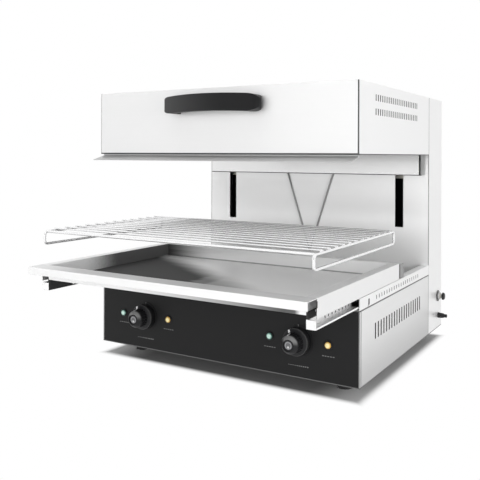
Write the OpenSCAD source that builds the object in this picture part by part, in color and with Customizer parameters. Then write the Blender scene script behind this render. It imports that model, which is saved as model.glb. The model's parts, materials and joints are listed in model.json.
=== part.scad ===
// Electric lift grill: a fixed base and rear column, a heated head that slides up and down
// on the column, a drip pan on slide rails and a wire rack over it.
// The origin is the middle of the front left foot's underside. +X is right, +Y is back.

/* [Casing] */
// Width of the whole casing
body_w = 600; // [520:10:720]
// Depth of the base in front of the column
base_d = 430; // [400:5:480]
// Depth of the rear column
column_d = 110; // [90:5:140]
// Height of the base from its underside to the top of the deck
base_h = 137; // [128:1:160]
// Height of the casing from the underside of the base to the top of the column
case_h = 545; // [530:1:600]
// Thickness of the stainless sheet
sheet = 1.5; // [1:0.1:2]
// Width of the side panel's return beside the control panel
front_return = 2.5; // [2:0.5:8]
// Gap between separate sheet pieces that meet at a visible seam
seam = 0.4; // [0.2:0.1:0.8]
// Gap between the head's front cover and its side walls
cover_gap = 2.6; // [0.8:0.2:4]

/* [Feet] */
// Height of a rubber foot
foot_h = 26; // [15:1:40]
// Radius of a rubber foot
foot_r = 14.5; // [12:0.5:18]
// Distance of a foot's middle from the casing's side
foot_inset_x = 56; // [34:1:80]
// Distance of a foot's middle from the casing's front or back
foot_inset_y = 68; // [34:1:90]
// Radius of a foot screw's shank
foot_screw_r = 2.5; // [2:0.25:3]

/* [Ventilation] */
// Number of slots in a base side panel
side_vents = 19; // [8:1:24]
// Distance between slots in a base side panel
side_vent_pitch = 15.6; // [12:0.2:17]
// Height of a slot in a base side panel
side_vent_h = 29; // [15:1:40]
// Width of a slot in a base side panel
side_vent_w = 5; // [3:0.5:6]
// Height of the middle of the side slots above the base's underside
side_vent_z = 86; // [60:1:95]
// Number of slots in each row on the head's side
head_vents = 22; // [8:1:26]
// Distance between slots on the head's side
head_vent_pitch = 12.2; // [9:0.2:14]
// Height of a slot on the head's side
head_vent_h = 12; // [8:1:16]
// Width of a slot on the head's side
head_vent_w = 4; // [3:0.5:5]

/* [Head] */
// Height of the head's casing
head_h = 132; // [120:1:160]
// How far the head's front stands in front of the base
head_overhang = 9.5; // [5:0.5:20]
// How far the head can be lowered
head_travel = 125; // [90:1:130]
// How far the front lip reaches forward
lip_reach = 27; // [15:1:35]
// How far the front lip drops below the head
lip_drop = 13.5; // [8:0.5:16]
// How far the front lip's leg is set back behind the front cover
lip_setback = 5; // [3:0.5:8]
// How far the rear band hangs below the head
band_drop = 47; // [42:1:52]
// Distance of the rear band's ends from the casing's sides
band_inset = 14; // [10:1:24]

/* [Handle] */
// Length of the handle
handle_w = 222; // [160:2:300]
// Height of the handle's grip
handle_h = 33.5; // [25:0.5:38]
// How far the grip stands off the head
handle_reach = 48; // [40:1:60]
// Thickness of the grip
grip_t = 15; // [12:1:18]
// How much higher the grip is in the middle than at its ends
handle_arch = 2; // [0:0.5:6]
// Distance from the top of the handle's ends to the head's top
handle_drop = 17; // [10:1:40]

/* [Heating] */
// Radius of an element's tube
element_r = 4.25; // [3:0.25:5]
// Distance between an element's legs
element_pitch = 66; // [50:1:70]
// Height of the elements above the head's lower edge
element_z = 20; // [16:1:30]

/* [Drip pan] */
// Depth of the pan from its front apron to its rear edge
pan_d = 431; // [400:1:434]
// Inside depth of the pan's bowl
bowl_h = 27.5; // [20:0.5:34]
// Width of the pan's front flange
front_flange = 35; // [25:1:45]
// Height of the pan's front apron
apron_h = 14.5; // [10:0.5:18]
// How far the pan stands out of its closed place
pan_out = 204; // [120:1:230]
// How much further the pan can be pulled out
pan_reserve = 40; // [0:1:60]

/* [Slide rails] */
// Height of the fixed channel on the deck
channel_h = 22.5; // [20:0.5:28]
// Width of the fixed channel
channel_w = 16.5; // [14:0.5:20]
// Running clearance between the rail and the channel
rail_gap = 0.8; // [0.5:0.1:1.2]
// Height of the sliding rail
rail_h = 15; // [12:0.5:19]
// Distance between the small slots in rails and channels
rail_slot_pitch = 14.5; // [12:0.5:18]

/* [Wire rack] */
// Width of the rack
rack_w = 592; // [510:1:712]
// Depth of the rack
rack_d = 384; // [340:1:392]
// Radius of the rack's frame wire
frame_wire_r = 2.75; // [2:0.25:3]
// Radius of the rack's cross wires
cross_wire_r = 1.6; // [1.2:0.1:2]
// Number of cross wires between the front and the rear frame wire
cross_wires = 12; // [8:1:16]
// Height of the side loops between the middles of their wires
loop_h = 24; // [16:1:28]
// Height at which the rack is held above its seat
rack_lift = 38.5; // [20:0.5:40]

/* [Controls] */
// Distance of a knob from the middle of the panel
knob_x = 180; // [120:1:220]
// Distance of a pilot lamp from its knob
lamp_dx = 60; // [45:1:70]
// Height of the controls above the base's underside
control_z = 69; // [60:1:80]
// Radius of a knob's skirt
knob_skirt_r = 25.5; // [20:0.5:28]
// Radius of a knob's grip
knob_r = 18; // [14:0.5:19]
// How far the front edge of a knob's skirt stands out of the panel
skirt_reach = 16; // [10:0.5:22]
// How far a knob stands out of the panel
knob_reach = 42; // [36:1:50]
// Gap between a knob's skirt and its dial plate
skirt_gap = 1.5; // [1:0.5:6]
// Radius of a thermostat's shaft
shaft_r = 3; // [2.5:0.5:4]
// Radial clearance of a turning or sliding shaft
running_gap = 0.06; // [0.02:0.01:0.1]
// Radius of a pilot lamp's lens
lamp_r = 6.3; // [4:0.1:8]

/* [Column] */
// Distance of a lift slot from the middle of the column
slot_x = 230; // [200:1:240]
// Width of a lift slot
slot_w = 20; // [16:1:24]
// Height of a lift slot's lower end above the base's underside
slot_low = 243.5; // [240:0.5:250]
// Radius of a guide rod
guide_r = 6; // [5:0.5:8]
// Distance of the guide rods behind the column's front
guide_dy = 48; // [40:1:52]
// Radius of the diagonal brace's bar
brace_r = 2.25; // [1.5:0.25:3]
// Half the spread of the diagonal brace at its upper end
brace_half = 76; // [50:1:90]
// Distance of a gas spring from the middle of the column
strut_x = 165; // [120:1:180]
// Radius of a gas spring's cylinder
strut_r = 9; // [8:0.5:11]
// Radius of a gas spring's rod
strut_rod_r = 4; // [3:0.5:5]

/* [Side fittings] */
// Distance of the reset switch behind the column's front
switch_dy = 79; // [40:1:84]
// Distance of the cable gland behind the column's front
gland_dy = 82; // [40:1:86]
// Height of the reset switch above the base's underside
switch_z = 76; // [50:1:100]
// Height of the cable gland above the base's underside
gland_z = 29; // [20:1:40]
// Radius of the gland's cable bore
gland_bore_r = 3.2; // [3:0.1:5]
// Travel of the reset button
button_travel = 3; // [2:0.5:4]

/* [Hidden] */

$fn = 48;
eps = 0.01;

// Colours
steel = "gainsboro";
bright = "silver";
black = [0.15, 0.15, 0.16];
rubber = [0.1, 0.1, 0.1];
brass = "goldenrod";

// Casing
half_w = body_w / 2;
floor_z = foot_h;
floor_top = floor_z + sheet;
deck_top = floor_z + base_h;
deck_z = deck_top - sheet;
channel_top = deck_top + channel_h;
case_top = floor_z + case_h;
depth = base_d + column_d;
front_y = -depth / 2;
column_y = front_y + base_d;
rear_y = front_y + depth;
inner_w = body_w - 2 * sheet;
column_foot = 20;
deck_inset = 0.9;
stud_z = 12;

// Head
head_low = case_top - head_h;
head_front_y = front_y - head_overhang;
head_gap = 1.5;
head_rear_y = column_y - head_gap;
brace_gap = 2;
band_rear_y = column_y - 2 * brace_r - brace_gap;
band_depth = 12;
band_y = band_rear_y - band_depth;
band_low = head_low - band_drop;
band_lap = 14;
reflector_top = head_low + 54;
reflector_t = 1;
reflector_low = head_low + 12;
reflector_front_y = head_front_y + sheet + 14;
reflector_back_y = band_y - 2;
reflector_slope = 26;
board_margin = 4;
hanger_inset = 50;
element_level = head_low + element_z;

// Lift
arm_h = 28;
arm_w = 12;
arm_z = band_low + sheet + 7.5 + arm_h / 2;
guide_y = column_y + guide_dy;
block_w = 40;
block_d = 36;
block_h = 64;
beam = 25;
guide_end = 12;
guide_low = arm_z - head_travel - block_h / 2 - guide_end - 4;
guide_high = arm_z + block_h / 2 + guide_end + 18;
slot_high = arm_z + arm_h / 2 + 8;
strut_top = arm_z - beam / 2 - head_travel - 6;
strut_cavity_z = floor_top + 34;
strut_rod_low = strut_cavity_z + head_travel + 8;

// Drip pan
rail_web_x = half_w - channel_w - rail_gap - sheet;
pan_wall_x = rail_web_x;
pan_front_y = front_y - head_overhang - pan_out;
bowl_front_y = pan_front_y + front_flange;
pan_rear_y = pan_front_y + pan_d;
pan_skirt_z = channel_top + 0.5;
pan_floor_z = deck_top + 26.5;
pan_rim_z = pan_floor_z + sheet + bowl_h;
rear_flange = 8;
rail_high = channel_top - sheet - rail_gap;
rail_low = rail_high - rail_h;
rail_top = pan_floor_z + 5;
rail_reach = half_w - sheet - rail_gap;
rail_rear_y = pan_rear_y - 8;

// Wire rack
rack_front_y = bowl_front_y - 2;
rack_seat_z = pan_rim_z + 0.2;
rack_low_z = rack_seat_z + rack_lift + frame_wire_r;
rack_top_z = rack_low_z + loop_h;
loop_x = rack_w / 2 - frame_wire_r;
loop_bend = 7;

// Controls
control_level = floor_z + control_z;
panel_back = front_y + sheet;
bushing_r = shaft_r + 2.2;
dial_t = 0.8;
cap_r = 7.5;

// Side fittings
switch_y = column_y + switch_dy;
gland_y = column_y + gland_dy;

// Moves a piece from the middle of the footprint to the frame at the front left foot
module placed() {
    translate([half_w - foot_inset_x, depth / 2 - foot_inset_y, 0])
        children();
}

module mirrored(side) {
    if (side < 0) mirror([1, 0, 0]) children();
    else children();
}

module both_sides() {
    for (side = [-1, 1]) mirrored(side) children();
}

// A box from its lowest to its highest corner
module block(low, high) {
    translate(low)
        cube(high - low);
}

// Axis turned along +Y, starting at the origin
module along_y() {
    rotate([-90, 0, 0])
        children();
}

module along_x() {
    rotate([0, 90, 0])
        children();
}

// Upright slots in a wall normal to X, in a row along Y
module slot_row(count, pitch, w, h) {
    for (i = [0 : count - 1])
        translate([-10, i * pitch - w / 2, -h / 2])
            cube([20, w, h]);
}

// Upright slots in a wall normal to Y, centred, in a row along X
module slot_rank(count, pitch, w, h) {
    for (i = [0 : count - 1])
        translate([(i - (count - 1) / 2) * pitch - w / 2, -10, -h / 2])
            cube([w, 20, h]);
}

module foot_places() {
    for (x = [-1, 1], y = [-1, 1])
        translate([x * (half_w - foot_inset_x), y * (depth / 2 - foot_inset_y), 0])
            children();
}

// ---------------------------------------------------------------- base

module floor_plate() {
    color(steel) placed() difference() {
        block([-half_w, front_y, floor_z], [half_w, rear_y, floor_top]);
        foot_places() translate([0, 0, floor_z])
            cylinder(h = 4 * sheet, r = foot_screw_r + seam, center = true);
        for (x = [-1, 1], row = [0 : 2])
            translate([x * 130, row * 90 - 120, floor_z])
                for (i = [-5 : 5])
                    translate([i * 12 - 2.5, -25, -5])
                        cube([5, 50, 10]);
    }
}

module side_panel(side) {
    color(steel) placed() mirrored(side) difference() {
        union() {
            block([half_w - sheet, front_y, floor_top], [half_w, column_y, deck_z]);
            block([half_w - front_return, front_y, floor_top], [half_w, front_y + sheet, deck_z]);
            block([half_w - 12, column_y - sheet, floor_top], [half_w, column_y, deck_z]);
        }
        translate([half_w, front_y + 79.5, floor_z + side_vent_z])
            slot_row(side_vents, side_vent_pitch, side_vent_w, side_vent_h);
    }
}

module side_panel_left() side_panel(-1);
module side_panel_right() side_panel(1);

module control_panel() {
    panel_x = half_w - front_return - seam;
    low = floor_top + seam;
    high = deck_z - seam;
    flange = 11;
    color(black) placed() difference() {
        union() {
            block([-panel_x, front_y, low], [panel_x, panel_back, high]);
            block([-panel_x, front_y, high - sheet], [panel_x, front_y + flange, high]);
            block([-panel_x, front_y, low], [panel_x, front_y + flange, low + sheet]);
        }
        for (side = [-1, 1]) {
            translate([side * knob_x, front_y - 5, control_level])
                along_y() cylinder(h = 10, r = bushing_r + 0.3);
            for (lamp = [-1, 1])
                translate([side * knob_x + lamp * lamp_dx, front_y - 5, control_level])
                    along_y() cylinder(h = 10, r = lamp_r);
        }
    }
}

module deck_plate() {
    color(steel) placed() {
        block([deck_inset - half_w, front_y, deck_z], [half_w - deck_inset, column_y, deck_top]);
        block([-inner_w / 2, column_y - eps, deck_z], [inner_w / 2, column_y + column_foot, deck_top]);
    }
}

module feet() {
    color(rubber) placed() foot_places()
        rotate_extrude() polygon([
            [0, 0], [foot_r - 2, 0], [foot_r - 0.6, 0.6], [foot_r, 2], [foot_r, 7],
            [foot_r - 2.5, foot_h - 6], [foot_r - 2.5, foot_h - 3], [foot_r, foot_h - 2],
            [foot_r, foot_h], [foot_screw_r, foot_h], [foot_screw_r, stud_z], [0, stud_z]
        ]);
}

module foot_screws() {
    nut_h = 4;
    color(bright) placed() foot_places() {
        translate([0, 0, stud_z])
            cylinder(h = floor_top + nut_h + 2 - stud_z, r = foot_screw_r);
        translate([0, 0, floor_top])
            cylinder(h = nut_h, r = 2 * foot_screw_r, $fn = 6);
    }
}

// The fixed channel opens inwards and the pan's rail runs inside it
module rail_channel(side) {
    inner_x = half_w - channel_w;
    color(steel) placed() mirrored(side) difference() {
        union() {
            block([half_w - sheet, front_y, deck_top], [half_w, column_y, channel_top]);
            block([inner_x, front_y, deck_top], [half_w, column_y, deck_top + sheet]);
            block([inner_x, front_y, channel_top - sheet], [half_w, column_y, channel_top]);
        }
        translate([half_w, front_y + 85, deck_top + 11])
            slot_row(19, rail_slot_pitch, 3, 7.5);
        translate([half_w - 5, front_y + 45, deck_top + 10])
            along_x() hook_hole();
    }
}

// The J-shaped hole of the pan's stop catch, drawn in the side wall
module hook_hole() {
    linear_extrude(10) {
        translate([-5.5, -1.6]) square([9, 3.2]);
        difference() {
            translate([3.4, -4]) circle(r = 5.6);
            translate([3.4, -4]) circle(r = 2.4);
            translate([-6, -12]) square([9.4, 20]);
            translate([-6, -14]) square([20, 10]);
        }
    }
}

module rail_channel_left() rail_channel(-1);
module rail_channel_right() rail_channel(1);

// Upright lugs that run inside the pan's folded side flanges and keep it from tipping
module pan_guides() {
    lug_y = pan_rear_y + 14;
    lug_x = half_w - channel_w + 1;
    color(bright) placed() both_sides() {
        block([lug_x, lug_y, channel_top], [half_w - sheet - 1, lug_y + 22, channel_top + sheet]);
        block([lug_x, lug_y, channel_top + sheet],
              [half_w - sheet - 1, lug_y + sheet, pan_rim_z - sheet - 2.5]);
        block([half_w - 2 * sheet - 1, lug_y + sheet, channel_top + sheet],
              [half_w - sheet - 1, lug_y + 22, pan_rim_z - sheet - 2.5]);
    }
}

// ---------------------------------------------------------------- controls

module lamp_places() {
    for (side = [-1, 1])
        translate([side * knob_x, front_y, control_level])
            children();
}

module lamp_bezels() {
    color(black) placed() lamp_places()
        for (lamp = [-1, 1])
            translate([lamp * lamp_dx, 0, 0])
                along_y() rotate_extrude() polygon([
                    [lamp_r, 0], [lamp_r + 2.4, 0], [lamp_r + 2.4, -1], [lamp_r + 1.2, -2.2],
                    [lamp_r, -2.2]
                ]);
}

// A lens with a domed end in front and the lamp's holder behind the panel
module lamp() {
    along_y() {
        rotate_extrude() polygon(concat(
            [[0, 24], [lamp_r - 0.8, 24], [lamp_r - 0.8, sheet + 1], [lamp_r + 1.6, sheet + 1],
             [lamp_r + 1.6, sheet], [lamp_r - 0.1, sheet], [lamp_r - 0.1, -2.4]],
            [for (a = [75 : -15 : 0]) [(lamp_r - 0.1) * sin(a), -2.4 - 2.6 * cos(a)]]
        ));
    }
}

module lamps_green() {
    color("mediumseagreen") placed() lamp_places()
        translate([-lamp_dx, 0, 0]) lamp();
}

module lamps_amber() {
    color("orange") placed() lamp_places()
        translate([lamp_dx, 0, 0]) lamp();
}

module dial_plates() {
    color(black) placed() lamp_places()
        translate([0, -dial_t, 0])
            along_y() difference() {
                cylinder(h = dial_t, r = knob_skirt_r + 4);
                translate([0, 0, -1]) cylinder(h = dial_t + 2, r = bushing_r + 0.3);
            }
}

// Housing, mounting plate and threaded bushing, bored for the turning shaft
module thermostat(side) {
    color(bright) placed() translate([side * knob_x, front_y, control_level]) difference() {
        union() {
            translate([-24, sheet + 6, -22]) cube([48, 34, 44]);
            translate([-16, sheet, -20]) cube([32, 6, 40]);
            translate([0, -skirt_gap, 0])
                along_y() cylinder(h = sheet + skirt_gap + eps, r = bushing_r);
        }
        translate([0, -10, 0])
            along_y() cylinder(h = 30, r = shaft_r + running_gap);
    }
}

module thermostat_left() thermostat(-1);
module thermostat_right() thermostat(1);

module shaft(side) {
    color(bright) placed() translate([side * knob_x, front_y - knob_reach + 8, control_level])
        along_y() cylinder(h = knob_reach - 8 + 18, r = shaft_r);
}

module shaft_left() shaft(-1);
module shaft_right() shaft(1);

// Skirted knob: skirt, fluted grip and a raised ring round the recessed cap
module knob(side) {
    flutes = 18;
    back = -dial_t - skirt_gap;
    front = -knob_reach;
    color(black) placed() translate([side * knob_x, front_y, control_level])
        along_y() difference() {
            rotate_extrude() polygon([
                [0, back], [knob_skirt_r - 0.6, back], [knob_skirt_r, back - 0.8],
                [knob_skirt_r, 1 - skirt_reach], [knob_skirt_r - 1, -skirt_reach],
                [knob_skirt_r - 2.5, -skirt_reach - 0.4], [knob_r + 1.5, -skirt_reach - 2.5],
                [knob_r + 0.6, -skirt_reach - 5], [knob_r, front + 8], [knob_r - 1.5, front + 4],
                [cap_r + 5.4, front + 0.6], [cap_r + 4.4, front], [cap_r + 3.6, front],
                [cap_r + 3.6, front + 2], [0, front + 2]
            ]);
            translate([0, 0, front + 8])
                cylinder(h = knob_reach, r = shaft_r);
            for (i = [0 : flutes - 1])
                rotate(i * 360 / flutes)
                    translate([knob_r + 1.6, 0, front - 1])
                        cylinder(h = knob_reach - skirt_reach - 2, r = 2, $fn = 16);
        }
}

module knob_left() knob(-1);
module knob_right() knob(1);

module knob_cap(side) {
    front = -knob_reach;
    color(bright) placed() translate([side * knob_x, front_y, control_level])
        along_y() rotate_extrude() polygon([
            [0, front + 2], [cap_r, front + 2], [cap_r, front + 0.9],
            [cap_r - 0.6, front + 0.4], [0, front + 0.4]
        ]);
}

module knob_cap_left() knob_cap(-1);
module knob_cap_right() knob_cap(1);

module terminal_block() {
    ways = 5;
    pitch = 14;
    color("ivory") placed() translate([150, column_y - 60, floor_top]) difference() {
        union() {
            cube([ways * pitch, 30, 10]);
            for (i = [0 : ways - 1])
                translate([i * pitch + 1, 5, 10 - eps]) cube([pitch - 2, 20, 12]);
        }
        for (i = [0 : ways - 1], y = [10, 20])
            translate([(i + 0.5) * pitch, y, 12]) cylinder(h = 20, r = 2.6, $fn = 24);
    }
}

// ---------------------------------------------------------------- column

module column_front() {
    color(steel) placed() difference() {
        union() {
            block([-inner_w / 2, column_y, deck_top], [inner_w / 2, column_y + sheet, case_top - sheet]);
            block([-inner_w / 2, column_y, deck_top],
                  [inner_w / 2, column_y + column_foot, deck_top + sheet]);
        }
        for (side = [-1, 1])
            block([side * slot_x - slot_w / 2, column_y - 5, floor_z + slot_low],
                  [side * slot_x + slot_w / 2, column_y + 5, slot_high]);
    }
}

module column_casing() {
    color(steel) placed() difference() {
        union() {
            both_sides()
                block([half_w - sheet, column_y, floor_top], [half_w, rear_y, case_top]);
            block([-half_w, column_y, case_top - sheet], [half_w, rear_y, case_top]);
        }
        translate([half_w - 10, switch_y, floor_z + switch_z])
            along_x() cylinder(h = 20, r = 6.2);
        translate([half_w - 10, gland_y, floor_z + gland_z])
            along_x() cylinder(h = 20, r = gland_bore_r + 1.6);
    }
}

module screw_places() {
    for (x = [-1, 0, 1], z = [floor_top + 14, case_top - sheet - 14])
        translate([x * (inner_w / 2 - 14), rear_y, z]) children();
}

module rear_cover() {
    flange = 12;
    color(steel) placed() difference() {
        union() {
            block([-inner_w / 2, rear_y - sheet, floor_top], [inner_w / 2, rear_y, case_top - sheet]);
            block([-inner_w / 2, rear_y - flange, floor_top],
                  [inner_w / 2, rear_y, floor_top + sheet]);
        }
        for (z = [floor_z + 120, floor_z + 430], x = [-150, 150])
            translate([x, rear_y, z])
                slot_rank(14, 12, 4, 36);
        screw_places()
            along_y() cylinder(h = 20, r = 2.3, center = true);
    }
}

module rear_screws() {
    color(bright) placed() screw_places() along_y() {
        rotate_extrude() polygon([
            [0, -8], [2, -8], [2, 0], [4, 0], [3.6, 1.4], [2.4, 2.2], [0, 2.4]
        ]);
    }
}

// A round bar bent to a V and welded flat on the column's front
module diagonal_brace() {
    bar_y = column_y - brace_r;
    high = head_low - 6;
    low = deck_top + 35;
    run = high - low;
    length = sqrt(run * run + brace_half * brace_half);
    lean = atan(brace_half / run);
    color(bright) placed() {
        translate([0, bar_y, low]) {
            sphere(r = brace_r, $fn = 32);
            for (side = [-1, 1])
                rotate([0, side * lean, 0])
                    cylinder(h = length, r = brace_r, $fn = 32);
        }
    }
}

module guide_rods() {
    color(bright) placed() both_sides()
        translate([slot_x, guide_y, guide_low])
            cylinder(h = guide_high - guide_low, r = guide_r);
}

// Shelves that carry the rods' ends on the back of the column's front
module guide_brackets() {
    color(steel) placed() both_sides()
        for (z = [guide_low, guide_high - guide_end])
            difference() {
                union() {
                    block([slot_x - 22, column_y + sheet, z], [slot_x + 22, guide_y + 14, z + guide_end]);
                    block([slot_x - 22, column_y + sheet, z - 14],
                          [slot_x + 22, column_y + 4, z + guide_end]);
                }
                translate([slot_x, guide_y, z - 1])
                    cylinder(h = guide_end + 2, r = guide_r);
            }
}

module strut_places() {
    for (side = [-1, 1])
        translate([side * strut_x, guide_y, 0])
            children();
}

module strut_cylinders() {
    wall = 1.4;
    gland_h = 10;
    color(black) placed() strut_places() difference() {
        union() {
            translate([0, 0, strut_cavity_z - 8])
                cylinder(h = strut_top - strut_cavity_z + 8, r = strut_r);
            translate([0, 0, floor_top])
                cylinder(h = strut_cavity_z - floor_top - 8 + eps, r = 5);
            block([-14, -14, floor_top], [14, 14, floor_top + 4]);
        }
        translate([0, 0, strut_cavity_z])
            cylinder(h = strut_top - strut_cavity_z - gland_h, r = strut_r - wall);
        translate([0, 0, strut_cavity_z])
            cylinder(h = strut_top, r = strut_rod_r + running_gap);
    }
}

module strut_rods() {
    color(bright) placed() strut_places() {
        translate([0, 0, strut_rod_low])
            cylinder(h = arm_z - beam / 2 - strut_rod_low, r = strut_rod_r);
        translate([0, 0, strut_rod_low - 4])
            cylinder(h = 4 + eps, r = strut_r - 1.4 - 0.4);
    }
}

// ---------------------------------------------------------------- side fittings

module limit_switch() {
    color("ivory") placed() translate([half_w, switch_y, floor_z + switch_z]) difference() {
        union() {
            translate([-46, -20, -16]) cube([46 - sheet - 3, 40, 32]);
            translate([-sheet - 3 - eps, 0, 0])
                along_x() cylinder(h = 3 + eps, r = 9);
            translate([-sheet - eps, 0, 0])
                along_x() cylinder(h = sheet + 8, r = 6);
        }
        translate([-20, 0, 0])
            along_x() cylinder(h = 60, r = shaft_r - 1 + running_gap);
    }
}

module switch_ring() {
    color(black) placed() translate([half_w, switch_y, floor_z + switch_z])
        along_x() difference() {
            rotate_extrude() polygon([
                [6, 0], [13, 0], [13, 1.4], [12.2, 2], [8.6, 2.2], [8.2, 6], [6, 6]
            ]);
            for (i = [0 : 11])
                rotate(i * 30) translate([13.8, 0, -1]) cylinder(h = 8, r = 1.5, $fn = 16);
        }
}

module reset_button() {
    color(black) placed() translate([half_w, switch_y, floor_z + switch_z])
        along_x() rotate_extrude() polygon([
            [0, -14], [shaft_r - 1, -14], [shaft_r - 1, 8 + button_travel + 0.4],
            [8.5, 8 + button_travel + 0.4], [8.5, 14.5 + button_travel - 3],
            [6.5, 16.5 + button_travel - 3], [0, 17 + button_travel - 3]
        ]);
}

module cable_gland() {
    thread_r = gland_bore_r + 1.4;
    color(black) placed() translate([half_w, gland_y, floor_z + gland_z])
        along_x() difference() {
            union() {
                rotate_extrude() polygon([
                    [gland_bore_r, -12], [thread_r, -12], [thread_r, 3],
                    [thread_r + 1.4, 3], [thread_r + 1.4, 9], [thread_r + 0.6, 13.5],
                    [gland_bore_r + 0.9, 15], [gland_bore_r + 0.7, 21], [gland_bore_r, 21]
                ]);
                cylinder(h = 4, r = thread_r + 2, $fn = 6);
                translate([0, 0, -sheet - 4]) cylinder(h = 4, r = thread_r + 3, $fn = 6);
            }
            translate([0, 0, -30]) cylinder(h = 80, r = gland_bore_r);
        }
}

// ---------------------------------------------------------------- head

module head_shell() {
    skin_y = head_front_y + sheet + cover_gap;
    color(steel) placed() difference() {
        union() {
            both_sides()
                block([half_w - sheet, skin_y, head_low], [half_w, head_rear_y, case_top]);
            block([-half_w, skin_y, case_top - sheet], [half_w, head_rear_y, case_top]);
            block([-half_w, band_rear_y - sheet, head_low], [half_w, band_rear_y, case_top]);
        }
        both_sides()
            for (z = [head_low + 80, head_low + 106.5])
                translate([half_w, front_y + 78, z])
                    slot_row(head_vents, head_vent_pitch, head_vent_w, head_vent_h);
    }
}

// Front cover with its edges turned inwards
module head_front() {
    turn = 12;
    skin_y = head_front_y + sheet;
    color(steel) placed() difference() {
        block([-half_w, head_front_y, head_low], [half_w, skin_y, case_top]);
        for (side = [-1, 1])
            translate([side * grip_screw_x, head_front_y - 5, grip_screw_z])
                along_y() cylinder(h = 10, r = 2.3);
    }
    color(steel) placed() difference() {
        block([-half_w + sheet + seam, skin_y - eps, head_low + 20],
              [half_w - sheet - seam, skin_y + turn, case_top - sheet - seam]);
        block([-half_w + 2 * sheet + seam, skin_y - 1, head_low + 20 - 1],
              [half_w - 2 * sheet - seam, skin_y + turn + 1, case_top - 2 * sheet - seam]);
    }
}

// Deflector lip: a tab on the back of the front cover, a set-back leg and a sloping blade
module front_lip() {
    tab_y = head_front_y + sheet;
    leg_y = tab_y + lip_setback;
    tip_y = head_front_y - lip_reach;
    leg_z = head_low - 3;
    tip_z = head_low - lip_drop;
    shelf_z = head_low + 12;
    lip_inset = 2;
    color(steel) placed()
        translate([-half_w + lip_inset, 0, 0])
            rotate([90, 0, 90])
                linear_extrude(body_w - 2 * lip_inset)
                    polygon([
                        [tab_y, shelf_z + 7], [tab_y, shelf_z - sheet], [leg_y, shelf_z - sheet],
                        [leg_y, leg_z], [tip_y, tip_z + 1.2], [tip_y, tip_z],
                        [leg_y + sheet, leg_z - 1.7], [leg_y + sheet, shelf_z],
                        [tab_y + sheet, shelf_z], [tab_y + sheet, shelf_z + 7]
                    ]);
}

// Channel with open ends that closes the gap between the head and the column
module rear_band() {
    x = half_w - band_inset;
    high = head_low + band_lap;
    color(steel) placed() {
        block([-x, band_y, band_low], [x, band_y + sheet, high]);
        block([-x, band_y, band_low], [x, band_rear_y, band_low + sheet]);
        block([-x, band_y, high - sheet], [x, band_rear_y - sheet, high]);
    }
}

// Folded reflector over the elements
module reflector() {
    x = half_w - sheet - 8;
    front = reflector_front_y;
    back = reflector_back_y;
    low = reflector_low;
    slope = reflector_slope;
    color("lightsteelblue") placed() difference() {
        translate([-x, 0, 0])
            rotate([90, 0, 90])
                linear_extrude(2 * x)
                    polygon([
                        [front, low], [front + slope, reflector_top],
                        [back - slope, reflector_top], [back, low],
                        [back - 1.2, low], [back - slope - 0.7, reflector_top - reflector_t],
                        [front + slope + 0.7, reflector_top - reflector_t], [front + 1.2, low]
                    ]);
        element_ends()
            translate([0, 0, reflector_top])
                cylinder(h = 20, r = element_r + 0.4, center = true);
    }
}

module insulation() {
    front = reflector_front_y + reflector_slope + board_margin;
    back = reflector_back_y - reflector_slope - board_margin;
    color("khaki") placed() difference() {
        block([-half_w + 14, front, reflector_top], [half_w - 14, back, reflector_top + 25]);
        element_ends()
            translate([0, 0, reflector_top + 12])
                cylinder(h = 40, r = element_r + 0.4, center = true);
    }
}

element_front_y = reflector_front_y + reflector_slope + element_pitch / 2;
element_rear_y = reflector_back_y - reflector_slope - element_pitch / 2;
element_mid_x = half_w / 2 - 4;
element_legs = [-1.5, -0.5, 0.5, 1.5];

// The upright ends of both elements
module element_ends() {
    for (side = [-1, 1], leg = [-1.5, 1.5])
        translate([side * element_mid_x + leg * element_pitch, element_rear_y, 0])
            children();
}

module element_bend(angle) {
    rotate_extrude(angle = angle)
        translate([element_pitch / 2, 0]) circle(r = element_r, $fn = 24);
}

// Four legs, joined by round bends at the front, the rear and the front again
module element(side) {
    bend_r = 14;
    end_z = reflector_top + 34;
    color("dimgray") placed() translate([side * element_mid_x, 0, element_level]) {
        for (leg = element_legs)
            translate([leg * element_pitch, element_front_y, 0])
                along_y() cylinder(h = element_rear_y - element_front_y
                                       - (abs(leg) > 1 ? bend_r : 0), r = element_r, $fn = 24);
        for (x = [-1, 1])
            translate([x * element_pitch, element_front_y, 0])
                mirror([0, 1, 0]) element_bend(180);
        translate([0, element_rear_y, 0])
            element_bend(180);
        for (leg = [-1.5, 1.5])
            translate([leg * element_pitch, element_rear_y - bend_r, bend_r])
                rotate([0, 90, 0])
                    rotate_extrude(angle = 90) translate([bend_r, 0]) circle(r = element_r, $fn = 24);
        for (leg = [-1.5, 1.5])
            translate([leg * element_pitch, element_rear_y, bend_r])
                cylinder(h = end_z - element_level - bend_r, r = element_r, $fn = 24);
    }
}

module element_left() element(-1);
module element_right() element(1);

// Hanging strips, bored for the legs
module element_hangers() {
    half = 1.5 * element_pitch + 12;
    color(bright) placed()
        for (side = [-1, 1], y = [element_front_y + hanger_inset, element_rear_y - hanger_inset])
            translate([side * element_mid_x, y, 0]) difference() {
                block([-half, 0, element_level - element_r - 3],
                      [half, 1.5, reflector_top - reflector_t]);
                for (leg = element_legs)
                    translate([leg * element_pitch, -5, element_level])
                        along_y() cylinder(h = 10, r = element_r);
                for (leg = [-1, 0, 1])
                    block([leg * element_pitch - 22, -5, element_level + 8],
                          [leg * element_pitch + 22, 5, reflector_top - reflector_t - 6]);
            }
}

module element_terminals() {
    color(brass) placed() element_ends()
        translate([0, 0, reflector_top + 34]) {
            cylinder(h = 5, r = element_r + 1.5, $fn = 6);
            translate([0, 0, 5 - eps]) cylinder(h = 9, r = 2);
        }
}

// ---------------------------------------------------------------- handle

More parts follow.
